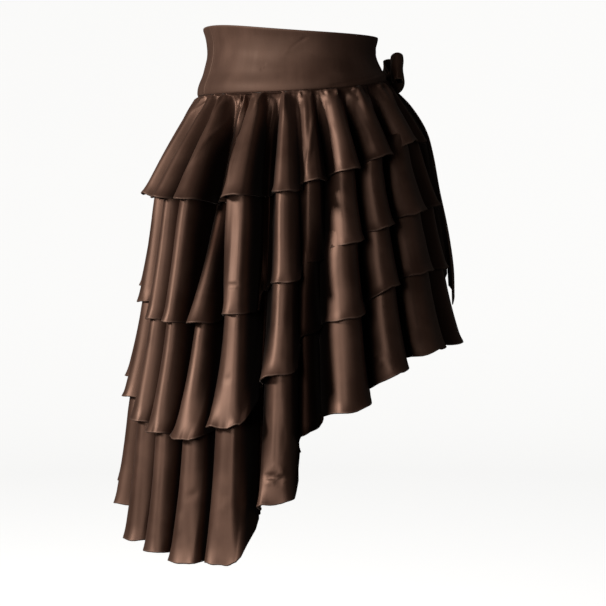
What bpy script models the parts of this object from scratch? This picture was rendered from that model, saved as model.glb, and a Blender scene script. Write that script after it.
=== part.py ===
"""A high-low skirt of satin: a shaped yoke tied in a bow at the right front, and four gathered tiers.

Metres, +Z up. The front is -Y and the wearer's right is -X. The origin is the middle of the natural
waist. An angle round the skirt starts at the front and turns through the wearer's right to the back.
"""
import math
from collections import namedtuple

import bmesh
import bpy
from mathutils import Vector

# Cloth and seams
TIER_WALL = 0.0014
YOKE_WALL = 0.0020
TIE_WALL = 0.0018
SEAM_GAP = 0.0003
TUCK_GAP = 0.0004

# The wrap opening at the right front, and the yoke's back seam opposite it
OPENING_DEG = 28.0
BACK_SEAM_DEG = OPENING_DEG + 180.0
OPENING_AT_WAIST_DEG = 1.2
OPENING_AT_HEM_DEG = 3.6
OPENING_REACH = 4

# Yoke: radius down its height, and how far the body's oval is from round
YokeRow = namedtuple("YokeRow", "down radius oval")
YOKE_ROWS = (
    YokeRow(0.00, 0.1192, 0.130),
    YokeRow(0.14, 0.1155, 0.135),
    YokeRow(0.34, 0.1132, 0.135),
    YokeRow(0.66, 0.1185, 0.130),
    YokeRow(0.92, 0.1264, 0.125),
    YokeRow(1.00, 0.1265, 0.125),
)
YOKE_STEPS = 40
YOKE_TOP = 0.0205
YOKE_TOP_TILT = 0.0085
YOKE_TOP_SIDE_DIP = 0.0040
YOKE_BOTTOM = -0.0610
YOKE_BOTTOM_RISE = 0.0230
YOKE_BOTTOM_RISE_POWER = 3
YOKE_END_TAPER = 0.0240
YOKE_END_PULL = 0.0120
YOKE_FRONT_LIP = 0.0034
YOKE_END_DEG = 30.0
YOKE_END_GAP_DEG = 1.0

# Tiers: hem height and hem radius at the front and at the back, and how the folds grow
Tier = namedtuple("Tier", "name front_z back_z front_radius back_radius depth belly crest_sag")
TIERS = (
    Tier("tier_1", -0.127, -0.206, 0.1790, 0.1990, 1.20, 0.58, -0.0030),
    Tier("tier_2", -0.206, -0.356, 0.1970, 0.2040, 0.90, 0.62, 0.0000),
    Tier("tier_3", -0.287, -0.498, 0.2070, 0.2270, 1.00, 0.66, 0.0010),
    Tier("tier_4", -0.3855, -0.647, 0.2260, 0.2310, 1.10, 0.66, 0.0045),
)
HEM_OVAL = 0.020
TIER_ROWS = (0.0, 0.09, 0.38, 0.76, 1.0)
TUCK_ROW = 3
FIRST_TIER_BULGE = 0.03
RIDGE_EASE = 1.6
HOLLOW_EASE = 2.6
BELLY_EASE = 2.0
GATHER_DEPTH = 0.0013
FOLD_STEPS = 6
DROP_SLOPE = 0.35
DROP_STEEPNESS = 6
DROP_SHARE_DOWN = 0.7

# Folds round the skirt, from the opening back to it. Angles in degrees, depths in millimetres.
# crest: the fold's ridge. groove: the hollow after it, and open: how wide that hollow is, 0 to 1.
# depth_1, depth_4: the hollow's depth at the first and the last hem. set_in: how far the ridge lies in.
# drop_1 to drop_4: each hem's height at the ridge, 0 at the front's length and 1 at the back's.
Fold = namedtuple("Fold", "crest groove open depth_1 depth_4 set_in drop_1 drop_2 drop_3 drop_4")
FOLDS = (
    Fold(36.0, 43.0, 0.0, 14, 20, 0, 0.00, 0.00, 0.00, 0.00),
    Fold(50.0, 58.0, 0.1, 14, 24, 0, 0.01, 0.00, 0.00, 0.00),
    Fold(69.0, 85.0, 0.0, 14, 22, 0, 0.05, 0.03, 0.02, 0.05),
    Fold(90.5, 95.5, 0.1, 18, 28, 0, 0.29, 0.18, 0.10, 0.09),
    Fold(106.5, 118.5, 0.5, 22, 30, 0, 0.51, 0.34, 0.28, 0.29),
    Fold(124.0, 127.8, 0.0, 7, 12, 6, 0.69, 0.50, 0.40, 0.39),
    Fold(133.0, 140.6, 0.8, 26, 44, 0, 0.77, 0.63, 0.60, 0.72),
    Fold(150.5, 159.5, 0.1, 20, 28, 0, 0.93, 0.90, 0.92, 1.01),
    Fold(167.5, 177.0, 0.0, 4, 26, 0, 1.00, 1.00, 1.01, 1.02),
    Fold(183.0, 190.0, 0.1, 20, 28, 0, 1.00, 0.98, 0.97, 0.985),
    Fold(204.5, 214.0, 0.1, 22, 28, 0, 0.95, 0.97, 0.90, 0.94),
    Fold(221.5, 229.0, 0.3, 20, 32, 0, 0.84, 0.76, 0.74, 0.77),
    Fold(236.5, 244.0, 0.0, 22, 26, 0, 0.69, 0.62, 0.59, 0.63),
    Fold(252.0, 260.0, 0.2, 18, 26, 0, 0.53, 0.46, 0.42, 0.44),
    Fold(267.0, 274.0, 0.4, 22, 28, 0, 0.39, 0.31, 0.28, 0.29),
    Fold(280.5, 287.0, 0.0, 16, 24, 2, 0.27, 0.20, 0.17, 0.17),
    Fold(294.0, 303.0, 0.2, 20, 30, 0, 0.16, 0.12, 0.09, 0.10),
    Fold(311.0, 319.0, 0.1, 16, 24, 0, 0.07, 0.05, 0.04, 0.04),
    Fold(328.0, 337.0, 0.3, 18, 28, 0, 0.02, 0.01, 0.01, 0.01),
    Fold(345.0, 352.5, 0.0, 14, 22, 0, 0.00, 0.00, 0.00, 0.00),
    Fold(361.0, 368.5, 0.1, 14, 24, 0, 0.00, 0.00, 0.00, 0.00),
    Fold(378.0, 388.0, 0.0, 14, 20, 0, 0.00, 0.00, 0.00, 0.00),
)

# Tie: a bow of ribbon over the opening, with two loops at its sides and two tails that hang
KNOT_DEG = OPENING_DEG
KNOT_RADIUS = 0.1412
KNOT_Z = -0.0420
KNOT_HALF = (0.0120, 0.0130, 0.0150)
RIBBON_WIDTH = 0.044
TAIL_STEPS = 5
TAIL_BOW = 0.0030
TAIL_END_SLANT = 0.012
TailRow = namedtuple("TailRow", "radius z spread width")
TAIL_ROWS = (
    TailRow(0.1422, -0.0555, 0.0058, 0.24),
    TailRow(0.1595, -0.0750, 0.0110, 0.42),
    TailRow(0.1785, -0.1060, 0.0170, 0.66),
    TailRow(0.1880, -0.1390, 0.0210, 0.84),
    TailRow(0.1955, -0.1850, 0.0240, 0.96),
    TailRow(0.2055, -0.2350, 0.0260, 1.00),
    TailRow(0.2130, -0.2850, 0.0270, 1.00),
    TailRow(0.2150, -0.3250, 0.0275, 1.00),
)
Tail = namedtuple("Tail", "name side length")
TAILS = (Tail("tie_tail_right", 1, 1.00), Tail("tie_tail_left", -1, 0.94))
LOOP_STEPS = 16
LOOP_TURN = math.radians(146.0)
Loop = namedtuple("Loop", "name side length thickness lean_out rise width")
LOOPS = (
    Loop("tie_loop_right", 1, 0.042, 0.016, -0.16, 0.42, 0.86),
    Loop("tie_loop_left", -1, 0.046, 0.018, 0.10, 0.30, 0.80),
)

SATIN = (0.055, 0.026, 0.017, 1.0)


def smooth_step(x):
    """0 to 1 with level ends."""
    x = min(max(x, 0.0), 1.0)
    return x * x * (3.0 - 2.0 * x)


def mix(a, b, share):
    """From a to b as share goes from 0 to 1."""
    return a + (b - a) * share


def on_ring(angle_deg, radius, z):
    """A point at an angle from the front, turning through the wearer's right."""
    angle = math.radians(angle_deg)
    return Vector((-radius * math.sin(angle), -radius * math.cos(angle), z))


def oval_radius(radius, oval, angle_deg):
    """Radius at an angle of an oval that is wider from side to side than from front to back."""
    angle = math.radians(angle_deg)
    wide = radius * (1.0 + oval)
    deep = radius * (1.0 - oval)
    return wide * deep / math.hypot(deep * math.sin(angle), wide * math.cos(angle))


def part_at_opening(angle_deg, half_gap_deg):
    """Spreads the angles beside the wrap opening apart, by nothing at the back seam."""
    from_back = (angle_deg - BACK_SEAM_DEG) / 180.0
    return angle_deg - half_gap_deg * math.copysign(abs(from_back) ** OPENING_REACH, from_back)


def from_opening(angle_deg):
    """Degrees between an angle and the wrap opening, at most 180."""
    return abs((angle_deg - OPENING_DEG + 180.0) % 360.0 - 180.0)


def yoke_bottom(angle_deg):
    """The waist seam's height: level at the back, rising to the tie."""
    share = (1.0 + math.cos(math.radians(from_opening(angle_deg)))) / 2.0
    return YOKE_BOTTOM + YOKE_BOTTOM_RISE * share ** YOKE_BOTTOM_RISE_POWER


def yoke_top(angle_deg):
    """The top edge's height: higher at the back, and drawn down to the tie at the opening."""
    turn = math.radians(from_opening(angle_deg))
    height = YOKE_TOP - YOKE_TOP_TILT * math.cos(turn)
    height -= YOKE_TOP_SIDE_DIP * math.sin(turn) ** 2
    near = 1.0 - smooth_step(from_opening(angle_deg) / YOKE_END_DEG)
    return height - YOKE_END_TAPER * near


def grid_mesh(name, rows):
    """An open sheet of triangles through rows of points, left to right seen from outside."""
    mesh = bpy.data.meshes.new(name)
    shape = bmesh.new()
    verts = [[shape.verts.new(point) for point in row] for row in rows]
    for upper, lower in zip(verts, verts[1:]):
        for left in range(len(upper) - 1):
            shape.faces.new((upper[left], upper[left + 1], lower[left + 1], lower[left]))
    bmesh.ops.triangulate(shape, faces=shape.faces, quad_method="BEAUTY")
    shape.normal_update()
    shape.to_mesh(mesh)
    shape.free()
    return mesh


def satin(name):
    """Brown satin."""
    material = bpy.data.materials.new(name)
    material.use_nodes = True
    shader = material.node_tree.nodes["Principled BSDF"]
    shader.inputs["Base Color"].default_value = SATIN
    shader.inputs["Roughness"].default_value = 0.38
    shader.inputs["Metallic"].default_value = 0.0
    material.diffuse_color = SATIN
    return material


def add_cloth(name, mesh, wall, skirt):
    """Gives an open sheet its thickness on the inner side."""
    obj = bpy.data.objects.new(name, mesh)
    skirt.objects.link(obj)
    mesh.materials.append(satin(name + "_satin"))
    mesh.shade_smooth()
    thick = obj.modifiers.new("wall", "SOLIDIFY")
    thick.thickness = wall
    thick.offset = -1.0
    return obj


def yoke_radius(row, angle_deg):
    """The yoke's radius in a row, with a flatter lip at the front and drawn out below by the tie."""
    near = 1.0 - smooth_step(from_opening(angle_deg) / YOKE_END_DEG)
    pull = YOKE_END_PULL * near ** 3 * mix(0.15, 1.0, smooth_step(row.down * 1.04))
    front = (1.0 + math.cos(math.radians(from_opening(angle_deg)))) / 2.0
    flat = YOKE_FRONT_LIP * front * (1.0 - row.down) ** 4
    return oval_radius(row.radius, row.oval, angle_deg) + pull - flat


def make_yoke(skirt):
    """The yoke in two pieces, from the tie to the back seam on each side."""
    half_seam = math.degrees(SEAM_GAP * 0.8 / YOKE_ROWS[0].radius)
    sides = (
        ("yoke_right", OPENING_DEG + YOKE_END_GAP_DEG, BACK_SEAM_DEG - half_seam),
        ("yoke_left", BACK_SEAM_DEG + half_seam, OPENING_DEG + 360.0 - YOKE_END_GAP_DEG),
    )
    for name, start, end in sides:
        angles = [mix(start, end, step / YOKE_STEPS) for step in range(YOKE_STEPS + 1)]
        rows = []
        for row in YOKE_ROWS:
            rows.append([
                on_ring(a, yoke_radius(row, a), mix(yoke_top(a), yoke_bottom(a), row.down))
                for a in angles
            ])
        add_cloth(name, grid_mesh(name, rows), YOKE_WALL, skirt)


FoldPoint = namedtuple("FoldPoint", "crest half_width phase open depths set_in drops")


def fold_points():
    """Points across every fold in turn, each with its place in the fold and the values there."""
    points = []
    last = len(FOLDS) - 1
    for index, fold in enumerate(FOLDS):
        before = FOLDS[index - 1] if index else fold
        after = FOLDS[index + 1] if index < last else fold
        start = before.groove if index else OPENING_DEG
        for step in range(FOLD_STEPS + (index == last)):
            phase = step / FOLD_STEPS - 0.5
            hollow, neighbour = (before, before) if phase < 0.0 else (fold, after)
            aside = abs(2.0 * phase)
            aside = mix(aside ** DROP_STEEPNESS, aside, DROP_SLOPE)
            depth_2 = mix(hollow.depth_1, hollow.depth_4, 0.7)
            depth_3 = mix(hollow.depth_1, hollow.depth_4, 0.85)
            points.append(FoldPoint(
                fold.crest,
                fold.crest - start if phase < 0.0 else fold.groove - fold.crest,
                phase,
                hollow.open,
                (hollow.depth_1, depth_2, depth_3, hollow.depth_4),
                fold.set_in,
                tuple(
                    mix(mine, other, aside * (DROP_SHARE_DOWN if mine > other else 1.0 - DROP_SHARE_DOWN))
                    for mine, other in zip(fold[-4:], neighbour[-4:])
                ),
            ))
    return points


def fold_angle(point, belly):
    """Angle of a point on a fold. A larger belly widens the ridge and narrows the hollow."""
    swing = belly * (1.0 - point.open) / (2.0 * math.pi) * math.sin(2.0 * math.pi * point.phase)
    return point.crest + 2.0 * point.half_width * (point.phase + swing)


def fold_depth(point, tier_index):
    """How far a point on a fold lies inside the line of the ridges at a tier's hem."""
    hollow = (1.0 - math.cos(2.0 * math.pi * point.phase)) / 2.0
    set_in = point.set_in * (0.5 if tier_index == 0 else 1.0)
    return (point.depths[tier_index] * hollow + set_in * (1.0 - hollow)) / 1000.0


def hem_point(point, tier_index, belly, down):
    """Ridge-line radius, depth inside it, angle and height of a point of a tier's hem."""
    tier = TIERS[tier_index]
    drop = point.drops[tier_index]
    half_gap = mix(OPENING_AT_WAIST_DEG, OPENING_AT_HEM_DEG, (tier_index + down) / len(TIERS))
    angle = part_at_opening(fold_angle(point, belly), half_gap)
    ridge = oval_radius(mix(tier.front_radius, tier.back_radius, min(drop, 1.0)), HEM_OVAL, angle)
    sag = tier.crest_sag * (1.0 + math.cos(2.0 * math.pi * point.phase)) / 2.0
    z = mix(tier.front_z, tier.back_z, drop) - sag
    return ridge, fold_depth(point, tier_index) * tier.depth, angle, z


def first_tier_rows(points):
    """The top tier: gathered along the waist seam, then spreading in cones to its hem."""
    seam = YOKE_ROWS[-1]
    rows = []
    for down in TIER_ROWS:
        row = []
        for column, point in enumerate(points):
            ridge, depth, angle, hem_z = hem_point(point, 0, TIERS[0].belly * down, down)
            top_radius = yoke_radius(seam, angle)
            held = smooth_step(from_opening(angle) / YOKE_END_DEG)
            share = down + FIRST_TIER_BULGE * math.sin(math.pi * down) * held
            gather = GATHER_DEPTH * (1.0 - smooth_step(down / TIER_ROWS[2])) * (-1) ** column
            radius = mix(top_radius, ridge, share) - depth * down ** 0.7 + gather
            row.append(on_ring(angle, radius, mix(yoke_bottom(angle) - SEAM_GAP, hem_z, down)))
        rows.append(row)
    return rows


def lower_tier_rows(points, tier_index, upper_rows, upper_normals):
    """A tier sewn inside the one above it, on that tier's own folds, and hanging from there."""
    rows = [[] for _ in TIER_ROWS]
    for column, point in enumerate(points):
        top = upper_rows[TUCK_ROW][column] - upper_normals[TUCK_ROW][column] * (TIER_WALL + TUCK_GAP)
        top_radius = math.hypot(top.x, top.y)
        ridge, depth, hem_angle, hem_z = hem_point(point, tier_index, TIERS[tier_index].belly, 1.0)
        hem_radius = ridge - depth
        top_angle = math.degrees(math.atan2(-top.x, -top.y))
        top_angle += 360.0 * round((hem_angle - top_angle) / 360.0)
        hollow = (1.0 - math.cos(2.0 * math.pi * point.phase)) / 2.0
        for row, down in zip(rows, TIER_ROWS):
            if hem_radius < top_radius:
                ease = mix(down ** RIDGE_EASE, 1.0 - (1.0 - down) ** BELLY_EASE, hollow)
            else:
                ease = down ** mix(RIDGE_EASE, HOLLOW_EASE, hollow)
            angle = mix(top_angle, hem_angle, down ** BELLY_EASE)
            row.append(on_ring(angle, mix(top_radius, hem_radius, ease), mix(top.z, hem_z, down)))
    return rows


def make_tiers(skirt):
    """The four gathered strips, each tucked into the one above."""
    points = fold_points()
    rows = first_tier_rows(points)
    for index, tier in enumerate(TIERS):
        mesh = grid_mesh(tier.name, rows)
        normals = [vertex.normal.copy() for vertex in mesh.vertices]
        count = len(points)
        normal_rows = [normals[start:start + count] for start in range(0, len(normals), count)]
        add_cloth(tier.name, mesh, TIER_WALL, skirt)
        if index + 1 < len(TIERS):
            rows = lower_tier_rows(points, index + 1, rows, normal_rows)


def knot_frame():
    """The knot's middle and its outward, sideways and upward directions."""
    middle = on_ring(KNOT_DEG, KNOT_RADIUS, KNOT_Z)
    outward = Vector((middle.x, middle.y, 0.0)).normalized()
    upward = Vector((0.0, 0.0, 1.0))
    sideways = on_ring(KNOT_DEG + 90.0, 1.0, 0.0)
    return middle, outward, sideways, upward


def make_knot(skirt):
    """The tie's knot, a soft lump with a waist where the band wraps it."""
    middle, outward, sideways, upward = knot_frame()
    mesh = bpy.data.meshes.new("tie_knot")
    shape = bmesh.new()
    bmesh.ops.create_uvsphere(shape, u_segments=14, v_segments=9, radius=1.0)
    for vert in shape.verts:
        out, side, up = vert.co
        pinch = 1.0 - 0.16 * math.exp(-(side / 0.45) ** 2)
        vert.co = (
            middle
            + outward * out * KNOT_HALF[0] * pinch
            + sideways * side * KNOT_HALF[1]
            + upward * up * KNOT_HALF[2] * pinch
        )
    bmesh.ops.recalc_face_normals(shape, faces=shape.faces)
    shape.to_mesh(mesh)
    shape.free()
    mesh.shade_smooth()
    mesh.materials.append(satin("tie_knot_satin"))
    obj = bpy.data.objects.new("tie_knot", mesh)
    skirt.objects.link(obj)


def make_tail(tail, skirt):
    """A ribbon end that hangs from the knot over the front of the skirt, flat to it."""
    rows = []
    last = len(TAIL_ROWS) - 1
    for index, row in enumerate(TAIL_ROWS):
        z = mix(TAIL_ROWS[0].z, row.z, tail.length)
        line = []
        for step in range(TAIL_STEPS + 1):
            share = step / TAIL_STEPS * 2.0 - 1.0
            along = tail.side * row.spread + share * RIBBON_WIDTH / 2.0 * row.width
            angle = KNOT_DEG + math.degrees(along / row.radius)
            radius = row.radius + TAIL_BOW * row.width * math.cos(math.pi * share / 2.0)
            slant = TAIL_END_SLANT * share * tail.side * (index / last) ** 2
            line.append(on_ring(angle, radius, z - slant))
        rows.append(line)
    add_cloth(tail.name, grid_mesh(tail.name, rows), TIE_WALL, skirt)


def make_loop(loop, skirt):
    """One side of the bow: the ribbon bent back on itself, gathered where it enters the knot."""
    middle, outward, sideways, upward = knot_frame()
    along = (sideways * loop.side + upward * loop.rise + outward * loop.lean_out).normalized()
    across = (upward - along * upward.dot(along)).normalized()
    normal = along.cross(across) * loop.side
    root = middle + along * (KNOT_HALF[1] - loop.length / 2.0 * (1.0 + math.cos(LOOP_TURN)))
    half = RIBBON_WIDTH / 2.0 * loop.width
    rows = []
    for share in (1.0, 0.5, 0.0, -0.5, -1.0):
        line = []
        for step in range(LOOP_STEPS + 1):
            turn = LOOP_TURN * (2.0 * step / LOOP_STEPS - 1.0)
            reach = loop.length / 2.0 * (1.0 + math.cos(turn))
            open_by = loop.thickness / 2.0 * math.sin(turn) * (1.0 + 0.35 * math.cos(turn))
            flare = 0.42 + 0.58 * smooth_step(reach / loop.length * 1.3)
            line.append(root + along * reach + normal * open_by + across * share * half * flare)
        rows.append(line)
    add_cloth(loop.name, grid_mesh(loop.name, rows), TIE_WALL, skirt)


def main():
    for old in list(bpy.data.objects):
        bpy.data.objects.remove(old)
    skirt = bpy.data.collections.new("high_low_skirt")
    bpy.context.scene.collection.children.link(skirt)
    make_yoke(skirt)
    make_tiers(skirt)
    make_knot(skirt)
    for tail in TAILS:
        make_tail(tail, skirt)
    for loop in LOOPS:
        make_loop(loop, skirt)


main()
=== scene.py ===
"""High-low satin skirt: a shaped yoke tied in a bow at the side front, and four gathered tiers.

Metres, +Z up. The front is -Y and the wearer's right is -X. The origin is the middle of the natural
waist. An angle round the skirt starts at the front and turns through the wearer's right to the back.
"""

import math
from collections import namedtuple

import bpy
import numpy as np
from bpy.props import FloatProperty, FloatVectorProperty, IntProperty, PointerProperty
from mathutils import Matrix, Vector


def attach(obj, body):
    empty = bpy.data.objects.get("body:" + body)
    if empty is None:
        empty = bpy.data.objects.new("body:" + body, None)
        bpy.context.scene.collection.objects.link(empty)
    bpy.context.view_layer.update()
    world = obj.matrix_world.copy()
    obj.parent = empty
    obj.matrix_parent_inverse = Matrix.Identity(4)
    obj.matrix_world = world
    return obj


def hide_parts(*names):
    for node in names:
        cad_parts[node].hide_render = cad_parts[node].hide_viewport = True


bl_info = {
    "name": "High-low satin skirt",
    "version": (1, 0, 0),
    "blender": (4, 5, 0),
    "location": "View3D > Sidebar > Skirt",
    "description": "Makes a tiered high-low satin skirt with a yoke and a bow",
    "category": "Add Mesh",
}

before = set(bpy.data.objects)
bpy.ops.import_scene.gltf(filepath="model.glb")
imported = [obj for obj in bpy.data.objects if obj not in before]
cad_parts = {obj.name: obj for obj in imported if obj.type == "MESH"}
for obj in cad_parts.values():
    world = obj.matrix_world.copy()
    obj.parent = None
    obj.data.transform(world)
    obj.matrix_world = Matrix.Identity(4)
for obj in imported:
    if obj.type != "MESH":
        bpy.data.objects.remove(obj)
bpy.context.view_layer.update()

# The cut. Its folds are a later and finer reading of the photo than the CAD's

OPENING_DEG = 28.0
BACK_SEAM_DEG = OPENING_DEG + 180.0
OPENING_AT_WAIST_DEG = 1.2
OPENING_AT_HEM_DEG = 3.6
OPENING_REACH = 4
SEAM_GAP = 0.0003

# Yoke rows: place down its height, radius, and how far the oval is from round
YOKE_DOWN = (0.00, 0.14, 0.34, 0.66, 0.92, 1.00)
YOKE_RADIUS = (0.1192, 0.1155, 0.1132, 0.1185, 0.1264, 0.1265)
YOKE_OVAL = (0.130, 0.135, 0.135, 0.130, 0.125, 0.125)
YOKE_TOP = 0.0205
YOKE_TOP_TILT = 0.0085
YOKE_TOP_SIDE_DIP = 0.0040
YOKE_BOTTOM = -0.0610
YOKE_BOTTOM_RISE = 0.0230
YOKE_BOTTOM_RISE_POWER = 3
YOKE_END_TAPER = 0.0240
YOKE_END_PULL = 0.0120
YOKE_FRONT_LIP = 0.0034
YOKE_END_DEG = 30.0
YOKE_END_GAP_DEG = 1.0

Tier = namedtuple("Tier", "name front_z back_z front_radius back_radius depth belly crest_sag")
TIERS = (
    Tier("tier_1", -0.127, -0.206, 0.1790, 0.1990, 1.20, 0.80, -0.0055),
    Tier("tier_2", -0.206, -0.356, 0.1970, 0.2040, 0.90, 0.92, 0.0000),
    Tier("tier_3", -0.287, -0.498, 0.2070, 0.2270, 1.00, 0.96, 0.0010),
    Tier("tier_4", -0.3820, -0.647, 0.2260, 0.2350, 1.10, 0.98, 0.0045),
)
HEM_OVAL = 0.020
HEM_WAVE = 0.0009
TUCK_DOWN = 0.76
RIDGE_FULLNESS = 1.2
# How far some folds lean aside at each tier's hem, in degrees, and where
LEAN_AT_DEG = (
    45.0, 60.0, 73.5, 83.5, 93.0, 99.5, 107.5, 116.0, 126.0, 136.0,
    143.0, 150.5, 160.5, 169.0, 176.5, 183.0, 190.0, 198.0, 208.0)
LEAN = (
    (0.0, -3.0, -5.0, -5.0, -3.5, -2.0, -2.0, -2.0, -1.0, 0.0,
     0.0, 0.0, -1.5, -5.5, -9.0, -5.5, -3.5, -1.0, 0.0),
    (0.0, 0.0, 0.0, 0.0, 0.0, -0.5, -1.0, -1.5, -1.0, 0.0, 0.5, 0.0, 0.0, 0.0, 0.0, 0.0, 0.0, 0.0, 0.0),
    (0.0, 0.0, 0.0, 0.0, 0.0, 0.3, 0.8, 1.2, 0.5, 0.0, 1.5, 0.0, 0.0, 0.0, 0.0, 0.0, 0.0, 0.0, 0.0),
    (0.0, 0.0, 0.0, 0.0, 0.0, 0.3, 1.0, 1.5, 0.6, 0.0, 2.2, 0.0, -0.5, -1.0, -1.0, -1.0, -1.0, 0.0, 0.0),
)
TUCK_GAP = 0.0004
FIRST_TIER_BULGE = 0.03
FIRST_TIER_DEPTH_EASE = 0.40
RIDGE_EASE = 1.6
HOLLOW_EASE = 2.6
BELLY_EASE = 2.0
TURN_EASE = 5.0
DROP_SLOPE_FRONT = 0.85
DROP_SLOPE_BACK = 0.10
DROP_WALL = 0.40
DROP_WALL_WIDTH = 0.45
DROP_SHARE_FRONT = 0.36
DROP_SHARE_BACK = 0.70
# How much of a tier's depth is its hem, and how deep a hollow is that gets the full painted shade
HEM_SHARE = 0.05
FULL_SHADE_DEPTH = 0.029

# Folds from the opening round to it again. Angles in degrees, depths in millimetres.
# crest: the fold's ridge. groove: the hollow after it, and open: how wide that hollow is at each tier,
# or under nothing how narrow.
# depth_1, depth_4: the hollow's depth at the first and the last hem. set_in_1, set_in_2: how far the
# ridge lies in on the first tier and on those below it.
# drop_1 to drop_4: each hem's height at the ridge, 0 at the front's length and 1 at the back's.
Fold = namedtuple(
    "Fold", "crest groove open depth_1 depth_4 set_in_1 set_in_2 drop_1 drop_2 drop_3 drop_4")
CLOSED, SLIGHT, HALF_OPEN = (0.0,) * 4, (0.15,) * 4, (0.35,) * 4
FOLDS = (
    Fold(36.0, 43.0, CLOSED, 16, 24, 0, 0, 0.00, 0.00, 0.00, 0.00),
    Fold(50.5, 60.0, SLIGHT, 24, 32, 0, 0, 0.00, 0.00, 0.00, 0.00),
    Fold(73.5, 83.5, SLIGHT, 30, 40, 0, 0, 0.01, 0.05, 0.01, 0.01),
    Fold(93.0, 99.5, SLIGHT, 28, 38, 0, 0, 0.26, 0.18, 0.10, 0.11),
    Fold(107.5, 116.0, SLIGHT, 28, 40, 0, 0, 0.49, 0.31, 0.28, 0.285),
    Fold(121.5, 126.5, SLIGHT, 20, 36, 6, 30, 0.66, 0.47, 0.37, 0.385),
    Fold(132.5, 141.0, (0.85, 0.85, -0.50, -0.50), 42, 54, 0, 0, 0.84, 0.64, 0.61, 0.715),
    Fold(150.5, 160.5, (-0.40, 0.25, -0.50, -0.45), 44, 44, 0, 0, 0.90, 0.91, 0.925, 1.012),
    Fold(169.0, 176.5, (0.30, 0.60, -0.25, -0.25), 38, 40, 32, 0, 1.01, 0.995, 1.01, 1.02),
    Fold(183.0, 190.0, (0.40, 0.45, -0.20, -0.20), 32, 40, 0, 0, 0.96, 0.99, 0.985, 0.985),
    Fold(197.0, 206.0, SLIGHT, 28, 36, 0, 0, 0.93, 0.98, 0.93, 0.95),
    Fold(214.0, 221.5, SLIGHT, 26, 36, 0, 0, 0.88, 0.84, 0.80, 0.80),
    Fold(229.0, 235.5, SLIGHT, 24, 34, 0, 0, 0.79, 0.71, 0.69, 0.71),
    Fold(241.5, 248.0, CLOSED, 22, 30, 0, 0, 0.64, 0.57, 0.55, 0.57),
    Fold(254.8, 261.8, SLIGHT, 24, 34, 0, 0, 0.51, 0.44, 0.40, 0.42),
    Fold(267.8, 274.2, HALF_OPEN, 26, 36, 0, 0, 0.39, 0.31, 0.28, 0.29),
    Fold(280.5, 287.0, CLOSED, 18, 28, 1, 6, 0.27, 0.20, 0.17, 0.17),
    Fold(294.0, 303.0, SLIGHT, 26, 36, 0, 0, 0.16, 0.12, 0.09, 0.10),
    Fold(311.0, 319.0, SLIGHT, 20, 30, 0, 0, 0.07, 0.05, 0.04, 0.04),
    Fold(328.0, 337.0, HALF_OPEN, 24, 34, 0, 0, 0.02, 0.01, 0.01, 0.01),
    Fold(345.0, 352.5, CLOSED, 18, 26, 0, 0, 0.00, 0.00, 0.00, 0.00),
    Fold(361.0, 368.5, SLIGHT, 18, 28, 0, 0, 0.00, 0.00, 0.00, 0.00),
    Fold(378.0, 388.0, CLOSED, 16, 24, 0, 0, 0.00, 0.00, 0.00, 0.00),
)

# Bow: knot, loops and tails
KNOT_DEG = OPENING_DEG
KNOT_RADIUS = 0.1412
KNOT_Z = -0.0420
KNOT_HALF = (0.0120, 0.0130, 0.0150)
RIBBON_WIDTH = 0.044
TAIL_BOW = 0.0030
TAIL_END_SLANT = 0.012
TAIL_RADIUS = (0.1422, 0.1595, 0.1785, 0.1880, 0.1955, 0.2055, 0.2130, 0.2150)
TAIL_Z = (-0.0555, -0.0750, -0.1060, -0.1390, -0.1850, -0.2350, -0.2850, -0.3250)
TAIL_SPREAD = (0.0058, 0.0110, 0.0170, 0.0210, 0.0240, 0.0260, 0.0270, 0.0275)
TAIL_WIDTH = (0.24, 0.42, 0.66, 0.84, 0.96, 1.00, 1.00, 1.00)
Tail = namedtuple("Tail", "name side length")
TAILS = (Tail("tie_tail_right", 1, 1.00), Tail("tie_tail_left", -1, 0.94))
LOOP_TURN = math.radians(146.0)
Loop = namedtuple("Loop", "name side length thickness lean_out rise width")
LOOPS = (
    Loop("tie_loop_right", 1, 0.042, 0.016, -0.16, 0.42, 0.86),
    Loop("tie_loop_left", -1, 0.046, 0.018, 0.10, 0.30, 0.80),
)

# Sewing and creases, for this scene

# Small shapes on the tiers and in the waist seam. Lengths are in metres
RIPPLE_EVERY = 0.030
RIPPLE_LEAN = 0.010
RIPPLE_WIDTH = (0.0060, 0.0140)
UNEVEN_WAVES = 9
UNEVEN_LENGTH = (0.030, 0.085)
STITCH_WIDTH = 0.0014
PUCKER_WIDTH = 0.0045
GATHER_RADIUS = 0.130
GATHER_WIDTH = (0.0015, 0.0032)
WAIST_PUFF = 0.0010
WAIST_TURN_IN = 0.0016
# How far down the first tier the gathers run, and how often each comes
GATHER_REACH = (0.14, 0.20, 0.30, 0.48)
GATHER_REACH_CHANCE = (0.30, 0.34, 0.24, 0.12)
# Small shapes on the yoke, and the pleats that are drawn to the tie. Lengths are in metres
YOKE_ARC_RADIUS = 0.118
YOKE_UNEVEN = 0.00035
YOKE_FINE_UNEVEN = 0.00018
YOKE_TOP_TURN = 0.0007
YOKE_BOTTOM_TURN = 0.0006
SEAM_GROOVE = 0.0009
SEAM_WELT = 0.0004
PLEAT_HEIGHT = 0.0011
PLEAT_COUNT = 3.5
PLEAT_REACH_DEG = 17.0
# How much painted shade the first tier's hollow parts get at the seam, and how far down it grows to the full
# painted shade
SHADE_AT_SEAM = 0.30
SHADE_DOWN = 0.6
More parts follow.
